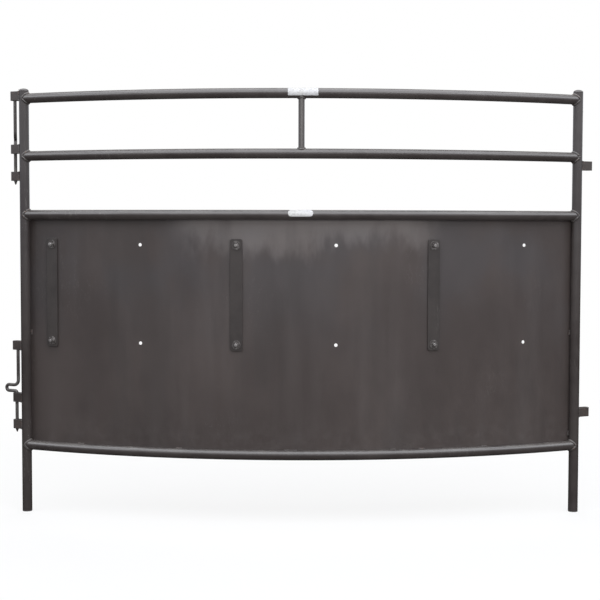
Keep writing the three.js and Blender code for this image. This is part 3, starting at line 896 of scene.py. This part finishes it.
# %% Bent rod
ROD_RADIUS, ROD_SIDES = 0.007, 28
SHOULDER_BEND, HEEL_BEND, BEND_STEP = 0.022, 0.009, math.radians(9)
ARM_SPACING = 0.0254
HANDLE_REACH = 0.0573
PIN_OFFSET = 0.004
TIP_TAPER, TIP_SHARE, TIP_EDGE = 0.014, 0.3, 0.0008
TOP_HEIGHT, TIP_HEIGHT = 0.217, -0.1684
LOWER_ARM = ROD_RADIUS + SEAT_GAP
PIN_REACH = 0.046
PIN_TURNS = {"upper": math.radians(127), "lower": math.pi}


def bend_rod(x, z, angle):
    """In edit mode, bends the end of the rod about a line along Y through x and z."""
    spin_about((x, 0, z), (0, 1, 0), angle, max(6, round(abs(angle) / BEND_STEP)))


def drop_pin_shape():
    """A drop pin with the top of its clevis loop at the origin and its handle along X."""
    upper_arm = LOWER_ARM + ARM_SPACING
    eye_x, eye_z = HANDLE_REACH - ARM_SPACING / 2, LOWER_ARM + ARM_SPACING / 2
    heel_x, heel_z = PIN_OFFSET + HEEL_BEND, LOWER_ARM - HEEL_BEND
    rod = section(ROD_SIDES, ROD_RADIUS, shifted(-PIN_OFFSET, 0, TOP_HEIGHT))
    push(z=upper_arm + SHOULDER_BEND - TOP_HEIGHT)
    bend_rod(SHOULDER_BEND - PIN_OFFSET, upper_arm + SHOULDER_BEND, -QUARTER_TURN)
    push(x=eye_x - (SHOULDER_BEND - PIN_OFFSET))
    bend_rod(eye_x, eye_z, math.pi)
    push(x=heel_x - eye_x)
    bend_rod(heel_x, heel_z, -QUARTER_TURN)
    push(z=TIP_HEIGHT + TIP_TAPER - heel_z)
    push(z=-TIP_TAPER)
    bpy.ops.transform.resize(value=(TIP_SHARE, TIP_SHARE, 1), center_override=(PIN_OFFSET, 0, TIP_HEIGHT))
    tidy(rod)
    round_edges(rod, TIP_EDGE, 3, 25)
    return rod


for level, turn in PIN_TURNS.items():
    top_of_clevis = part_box(f"{level}_clevis_top_loop")[1].z
    place = ENDS["left"][0] @ shifted(-PIN_REACH, 0, top_of_clevis) @ Matrix.Rotation(turn, 4, "Z")
    finish_piece(drop_pin_shape(), f"{level}_bent_rod", place, PIN_FINISH,
                 [f"{level}_drop_pin"], body=f"{level}_pin")

# %% [markdown]
# ## Labels on the rails
#
# A label wraps part of the way round a tube that is itself bent. A circle a little larger than the tube
# loses all but the arc that the label covers, and the arc is spun along the bend. A block with rounded
# corners then cuts the ends to their shape.

# %% Labels
LABEL_THICKNESS = 0.0004
LABEL_SIDES, LABEL_STEPS = 360, 16
TRIM, SLACK = 0.0002, 0.1
LABELS = {"top_rail": {"middle": 0.006, "length": 0.122, "low": -31, "high": 67, "corner": 0.002},
          "sheet_rail": {"middle": -0.003, "length": 0.101, "low": -17, "high": 80, "corner": 0.012}}


def angle_round_tube(point, height):
    """In degrees from straight out, upwards, round a rail at a height."""
    outward_by = (point - BEND_CENTRE).to_2d().length - BEND_RADIUS
    return math.degrees(math.atan2(point.z - height, outward_by))


def label_shape(rail, middle, length, low, high, corner):
    """A strip of film on a rail, between two angles round the tube."""
    height = rail_heights[rail]
    angle_from, angle_turn = (middle - length / 2) / BEND_RADIUS, length / BEND_RADIUS
    back = TUBE_RADIUS + SEAT_GAP
    film = section(LABEL_SIDES, back, on_bend(angle_from, height) @ end_face_turn)
    pick(film, "verts", lambda vert: not low - SLACK < angle_round_tube(vert.co, height) < high + SLACK)
    bpy.ops.mesh.delete(type="VERT")
    bpy.ops.mesh.select_all(action="SELECT")
    spin_about(BEND_CENTRE, (0, 0, 1), angle_turn, LABEL_STEPS)
    tidy(film, closed=False)
    facing = film.data.polygons[len(film.data.polygons) // 2]
    outwards = facing.normal.dot(facing.center - BEND_CENTRE - Vector((0, 0, height))) > 0
    apply_modifier(film, "SOLIDIFY", thickness=LABEL_THICKNESS, offset=1 if outwards else -1)
    edges = [back * math.sin(math.radians(side)) for side in (low, high)]
    block = plane()
    block.matrix_world = (on_bend(middle / BEND_RADIUS, height + sum(edges) / 2) @ shifted(y=-2 * back)
                          @ Matrix.Rotation(QUARTER_TURN, 4, "X"))
    block.scale = (length - TRIM, edges[1] - edges[0] + TRIM, 1)
    rounded_slab(block, corner, 2 * back)
    cut_with(film, block, "INTERSECT")
    return film


for rail, size in LABELS.items():
    finish_piece(label_shape(rail, **size), f"{rail}_label_film", Matrix(), LABEL_FILM,
                 [f"{rail}_label"])

# %% [markdown]
# ## Weld beads
#
# A welder's bead is a row of small puddles, each laid half over the last. It stands up 2 to 4 mm and shows
# in the outline, so it is modelled instead of painted: a line is drawn along the joint, its thickness
# swells and shrinks with the puddles, and it becomes a mesh half sunk in both tubes.

# %% Beads from lines
PUDDLE_LENGTH = 0.0034
BEAD_STEP, MEASURE_STEPS, WANDER_STEPS = 0.0009, 40, 6
WELD_SMOOTH = 70
RAIL_SWELL, LEG_SWELL, STITCH_SWELL = 0.1, 0.35, 0.2
weld_random = random.Random(11)


def bead_spline(curve, line, size, swell):
    """Adds one bead along a function from 0 to 1, with its radius in metres."""
    rough = [Vector(line(step / MEASURE_STEPS)) for step in range(MEASURE_STEPS + 1)]
    length = sum((after - before).length for before, after in zip(rough, rough[1:]))
    count = max(6, round(length / BEAD_STEP))
    spline = curve.splines.new("POLY")
    spline.points.add(count)
    wander = [weld_random.uniform(-1, 1) for _ in range(count // WANDER_STEPS + 3)]
    for step in range(count + 1):
        share = step / count
        before, part = divmod(step / WANDER_STEPS, 1)
        slow = wander[int(before)] * (1 - part) + wander[int(before) + 1] * part
        puddle = (share * length / PUDDLE_LENGTH) % 1
        end = min(share, 1 - share) * length / size
        radius = size * (0.9 + 0.16 * puddle ** 2 + 0.10 * slow + swell * max(0, 1 - end / 2))
        radius *= min(1, 0.35 + end * 1.3)
        spline.points[step].co = (*line(share), 1)
        spline.points[step].radius = radius


def weld_beads(name, beads):
    """One piece made of several beads. Each is a line, a size and how much its ends swell."""
    curve = bpy.data.curves.new(name, "CURVE")
    curve.dimensions = "3D"
    curve.bevel_depth = 1
    curve.bevel_resolution = 3
    curve.use_fill_caps = True
    for line, size, swell in beads:
        bead_spline(curve, line, size, swell)
    piece = bpy.data.objects.new(name, curve)
    bpy.context.collection.objects.link(piece)
    activate(piece)
    bpy.ops.object.convert(target="MESH")
    piece = bpy.context.object
    tidy(piece)
    finish_piece(piece, name, Matrix(), WELD_PAINT, smooth=WELD_SMOOTH)


# %% Beads round the rail ends
RAIL_BEAD = 0.0054
SEAM_ROUND_SHARE = 0.05
CROWN_LIFT, FLANK_SINK = 0.0010, 0.0016


def saddle_seam(end, way, height, turn_from):
    """The line where a rail meets a post."""
    def line(share):
        angle = turn_from + share * 2 * math.pi
        along = math.sqrt(math.cos(angle) ** 2 + SEAM_ROUND_SHARE)
        point = TUBE_RADIUS * Vector((way * along, math.sin(angle), math.cos(angle)))
        normal = Vector((way * along, 2 * math.sin(angle), math.cos(angle))).normalized()
        lift = CROWN_LIFT * abs(math.cos(angle)) - FLANK_SINK * abs(math.sin(angle))
        return end @ (point + normal * lift + Vector((0, 0, height)))
    return line


for side, (end, way) in ENDS.items():
    beads = [(saddle_seam(end, way, height, weld_random.uniform(0, 6)), RAIL_BEAD, RAIL_SWELL)
             for height in rail_heights.values()]
    weld_beads(f"{side}_post_rail_welds", beads)

# %% Beads round the stay's ends
STAY_BEAD = 0.0036
STAY_SEAM_WIDER, STAY_SEAM_LIFT, STAY_SEAM_START = 1.06, 0.0008, 0.4


def stay_seam(height, way):
    """The line where the stay meets a rail, above it or below it."""
    def line(share):
        angle = share * 2 * math.pi + STAY_SEAM_START
        x, y = STAY_RADIUS * math.cos(angle), STAY_RADIUS * math.sin(angle)
        rise = math.sqrt(TUBE_RADIUS ** 2 - y ** 2)
        wider = STAY_SEAM_WIDER
        return stay_place @ Vector((x * wider, y * wider, height + way * (rise + STAY_SEAM_LIFT)))
    return line


stay_ends = [stay_seam(rail_heights["top_rail"], -1), stay_seam(rail_heights["second_rail"], 1)]
weld_beads("centre_stay_welds", [(seam, STAY_BEAD, RAIL_SWELL) for seam in stay_ends])

# %% Beads up both legs of each loop
LOOP_BEAD = 0.0029
LEG_CLEAR, LEG_BESIDE, LEG_OVERRUN, LEG_WAVE = 0.0014, 0.0011, 0.003, 0.0004


def leg_seam(place, side_way):
    """The upright line where one leg of a loop meets the post."""
    y = side_way * (LOOP_MIDDLE + LOOP_BAR / 2)
    x = math.sqrt(TUBE_RADIUS ** 2 - y ** 2)

    def line(share):
        wave = LEG_WAVE * math.sin(share * 9 + side_way)
        along = (share - 0.5) * (LOOP_HEIGHT + LEG_OVERRUN)
        return place @ Vector((x + LEG_CLEAR + wave, y + side_way * LEG_BESIDE, along))
    return line


for side in ENDS:
    seams = [leg_seam(loop_place(node), side_way) for node in loops if loops[node] == side
             for side_way in (-1, 1)]
    weld_beads(f"{side}_loop_welds", [(seam, LOOP_BEAD, LEG_SWELL) for seam in seams])

# %% [markdown]
# ## Stitches that hold the sheet
#
# The sheet is stitched, not seam welded, so that it doesn't buckle. Short beads sit in the valley between
# the sheet and the bottom rail, along its top and bottom edges at the back, and beside the posts.

# %% Stitch welds
STITCH_SIZE, TACK_LENGTH = 0.0038, 0.022
BACK_STITCH_SIZE, BACK_STITCH_SINK, BACK_STITCH_SHIFT = 0.0026, 0.0002, 0.02
FRONT_STITCHES = [(-0.949, 0.030), (-0.508, 0.026), (-0.042, 0.054), (0.3825, 0.024), (0.506, 0.028),
                  (0.781, 0.026)]
POST_TACKS = [("left", 0.766), ("right", 0.768), ("right", 0.336)]
BACK_STITCH_COUNT, BACK_STITCH_LENGTH, BACK_STITCH_MARGIN = 9, 0.045, 0.08
VALLEY, POST_VALLEY, EDGE_LIFT = 0.0165, 0.0185, 0.0006


def stitch(middle, length, inward_by, height):
    """A short bead along the bend."""
    def line(share):
        place = on_bend((middle + (share - 0.5) * length) / BEND_RADIUS, height)
        return place @ Vector((0, inward_by, 0))
    return line


def tack(side, height):
    """A short upright bead between a post and the sheet."""
    end, way = ENDS[side]
    return lambda share: end @ Vector((way * POST_VALLEY, VALLEY, height + (share - 0.5) * TACK_LENGTH))


front_seams = [stitch(middle, length, VALLEY, rail_heights["bottom_rail"] + VALLEY)
               for middle, length in FRONT_STITCHES]
front_seams += [tack(side, height) for side, height in POST_TACKS]
weld_beads("front_stitch_welds", [(seam, STITCH_SIZE, STITCH_SWELL) for seam in front_seams])

back_stitches = []
for number in range(BACK_STITCH_COUNT):
    reach = 2 * HALF_ANGLE * BEND_RADIUS - 2 * BACK_STITCH_MARGIN
    middle = (number / (BACK_STITCH_COUNT - 1) - 0.5) * reach
    for height in (sheet_high.z + EDGE_LIFT, sheet_low.z - EDGE_LIFT):
        place = middle + weld_random.uniform(-BACK_STITCH_SHIFT, BACK_STITCH_SHIFT)
        seam = stitch(place, BACK_STITCH_LENGTH, sheet_face + BACK_STITCH_SINK, height)
        back_stitches.append((seam, BACK_STITCH_SIZE, STITCH_SWELL))
weld_beads("back_stitch_welds", back_stitches)

# %% [markdown]
# ## Spatter
#
# Sparks from the torch stick beside the joints as small beads of steel, and the paint covers them. A few
# dozen low-sided balls are enough, all joined into one piece.

# %% Spatter beside the joints
SPATTER_PER_JOINT = 5
SPATTER_SIZES, SPATTER_ON_POST, SPATTER_ON_RAIL = (0.0006, 0.0014), (0.026, 0.055), (0.028, 0.075)
spatter_random = random.Random(23)
clear_selection()
balls = []
for side, (end, way) in ENDS.items():
    for height in rail_heights.values():
        for _ in range(SPATTER_PER_JOINT):
            size = spatter_random.uniform(*SPATTER_SIZES)
            if spatter_random.random() < 0.5:
                angle = spatter_random.uniform(-2.4, -0.6)
                z = height + spatter_random.choice((-1, 1)) * spatter_random.uniform(*SPATTER_ON_POST)
                point = end @ Vector((TUBE_RADIUS * math.cos(angle), TUBE_RADIUS * math.sin(angle), z))
            else:
                along = -way * HALF_ANGLE + way * spatter_random.uniform(*SPATTER_ON_RAIL) / BEND_RADIUS
                angle = spatter_random.uniform(-0.5, 1.5)
                offset = Vector((0, -math.cos(angle), math.sin(angle))) * TUBE_RADIUS
                point = on_bend(along, height) @ offset
            bpy.ops.mesh.primitive_ico_sphere_add(subdivisions=2, radius=size, location=point)
            balls.append(bpy.context.object)
clear_selection()
for ball in balls:
    ball.select_set(True)
bpy.context.view_layer.objects.active = balls[0]
bpy.ops.object.join()
finish_piece(bpy.context.object, "weld_spatter", Matrix(), WELD_PAINT, smooth=WELD_SMOOTH)
print("spatter:", len(balls), "balls")

# %% [markdown]
# ## Floor and light
#
# The panel stands on a plain white floor in even daylight. The floor fades to pure white away from the
# panel and keeps the soft shadow at its feet. The light that it throws back is that of bare ground, so that
# the rails stay dark beneath.

# %% Floor
FLOOR_SIZE = 60
FLOOR_NEAR, FLOOR_FAR = 1.6, 4.5
SHADOW_SHARE = 0.22
SHADOW_GREY = 0.66
BOUNCE_GREY = 0.22


def seen_directly(wire):
    """1 for what the camera, a mirror or glass sees, and 0 for the light that is thrown back."""
    path = wire.node("ShaderNodeLightPath")
    return (path.output("Is Camera Ray") + path.output("Is Glossy Ray")
            + path.output("Is Transmission Ray")).clamped()


def mixed_shaders(factor, first, second):
    return factor.node("ShaderNodeMixShader", {0: factor, 1: first, 2: second})


floor = plane(FLOOR_SIZE, location=(0, 0, 0))
floor.name = "floor"
material, wire = new_finish("floor_white")
place = place_on_piece(wire)
along, across = part_of(place, "X"), part_of(place, "Y")
distance = wire.math("POWER", along * along + across * across, 0.5)
far = ramp(distance, FLOOR_NEAR, FLOOR_FAR)
paper = wire.node("ShaderNodeBsdfDiffuse", {"Color": grey(BOUNCE_GREY)})
bright_paper = wire.node("ShaderNodeBsdfDiffuse", {"Color": grey(SHADOW_GREY)})
glow = wire.node("ShaderNodeEmission", {"Color": grey(1), "Strength": 1.0})
seen_floor = mixed_shaders((1 - SHADOW_SHARE) + far * SHADOW_SHARE, bright_paper, glow)
surface = mixed_shaders(seen_directly(wire), paper, seen_floor)
wire.node("ShaderNodeOutputMaterial", {"Surface": surface})
floor.data.materials.append(material)
floor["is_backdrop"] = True

# %% [markdown]
# ## What the paint mirrors
#
# Gloss paint shows its surroundings. In the yard it mirrored a bright sky above, and dark ground and trees
# below, so each rail is light on top and nearly black beneath. A wide dark dish just over the floor, which
# only reflections see, stands for the ground and the trees. Its rim pales upwards, as far trees do, and the
# posts, which mirror the horizon, take their soft grey from it.

# %% Ground card
CARD_RADIUS, TREE_HEIGHT, CARD_LIFT = 9.0, 3.4, 0.004
CARD_DARK, TREES_PALE = (0.03, 0.027, 0.025, 1), (0.70, 0.72, 0.78, 1)
PALE_LOW, PALE_HIGH = 0.3, 2.1

ground_card = cylinder(48, CARD_RADIUS, TREE_HEIGHT, location=(0, 0, TREE_HEIGHT / 2 + CARD_LIFT))
ground_card.name = "ground_card"
set_in_mesh(ground_card)
start_editing(ground_card)
pick(ground_card, "faces", lambda face: face.normal.z > 0.5)
bpy.ops.mesh.delete(type="ONLY_FACE")
clear_selection()
material, wire = new_finish("dark_card")
dark_card = wire.node("ShaderNodeBsdfDiffuse", {"Color": CARD_DARK})
pale_trees = wire.node("ShaderNodeEmission", {"Color": TREES_PALE, "Strength": 1.0})
pale_share = ramp(part_of(place_on_piece(wire), "Z"), PALE_LOW, PALE_HIGH)
wire.node("ShaderNodeOutputMaterial", {"Surface": mixed_shaders(pale_share, dark_card, pale_trees)})
ground_card.data.materials.append(material)
for seen_by in ("camera", "diffuse", "transmission", "volume_scatter", "shadow"):
    setattr(ground_card, f"visible_{seen_by}", False)
ground_card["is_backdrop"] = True

# %% [markdown]
# ## Daylight
#
# The world is plain grey for the light that it gives, and white where the camera or a reflection sees it.
# A soft box overhead and three in front are the bright sky, and the paint mirrors them. Two more, before
# and behind the sheet, only fill.

# %% World
WORLD_GREY = 0.26
world = bpy.data.worlds.new("studio")
bpy.context.scene.world = world
world.use_nodes = True
world.node_tree.nodes.clear()
wire = Wire(world.node_tree)
given = wire.node("ShaderNodeBackground", {"Color": grey(WORLD_GREY), "Strength": 1.0})
shown = wire.node("ShaderNodeBackground", {"Color": grey(1), "Strength": 1.0})
wire.node("ShaderNodeOutputWorld", {"Surface": mixed_shaders(seen_directly(wire), given, shown)})


# %% Lamps
SKY_TINT = (0.91, 0.945, 1.0)


def softbox(name, place, target, width, depth, power, mirrored=True):
    """A soft rectangular lamp that faces a point, and which the camera doesn't see."""
    clear_selection()
    bpy.ops.object.light_add(type="AREA", location=place)
    lamp = bpy.context.object
    lamp.name = name
    lamp.data.shape = "RECTANGLE"
    lamp.data.size, lamp.data.size_y = width, depth
    lamp.data.energy = power
    lamp.data.color = SKY_TINT if mirrored else (1, 1, 1)
    facing = (Vector(target) - Vector(place)).to_track_quat("-Z", "Y")
    lamp.rotation_euler = facing.to_euler()
    lamp.visible_camera = False
    lamp.visible_glossy = mirrored


softbox("sky_box", (0, -0.5, 5.9), (0, -0.1, 0.9), 8.4, 3.4, 240)
softbox("front_box", (0.3, -4.3, 5.6), (0.3, 0, 1.2), 9.0, 3.8, 255)
softbox("left_box", (-6.9, -2.8, 5.6), (-0.8, 0.1, 1.3), 6.2, 3.8, 185)
softbox("right_box", (6.9, -2.8, 5.6), (0.8, 0.1, 1.3), 6.2, 3.8, 185)
softbox("face_fill", (1.5, -5.6, 1.7), (0, 0, 0.8), 4.0, 2.4, 205, mirrored=False)
softbox("back_box", (0, 5.6, 3.6), (0, 0, 0.9), 7.0, 2.6, 260, mirrored=False)

bpy.context.scene.view_settings.view_transform = "Standard"

# %% Count the pieces and check the size
dressed_low, dressed_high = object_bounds()
print("pieces:", len(made_pieces), "faces:", sum(len(piece.data.polygons) for piece in made_pieces))
for end, growth in (("above", dressed_high - cad_high), ("below", cad_low - dressed_low)):
    print("grew", end, "by", [round(side * 1000, 1) for side in growth], "mm")
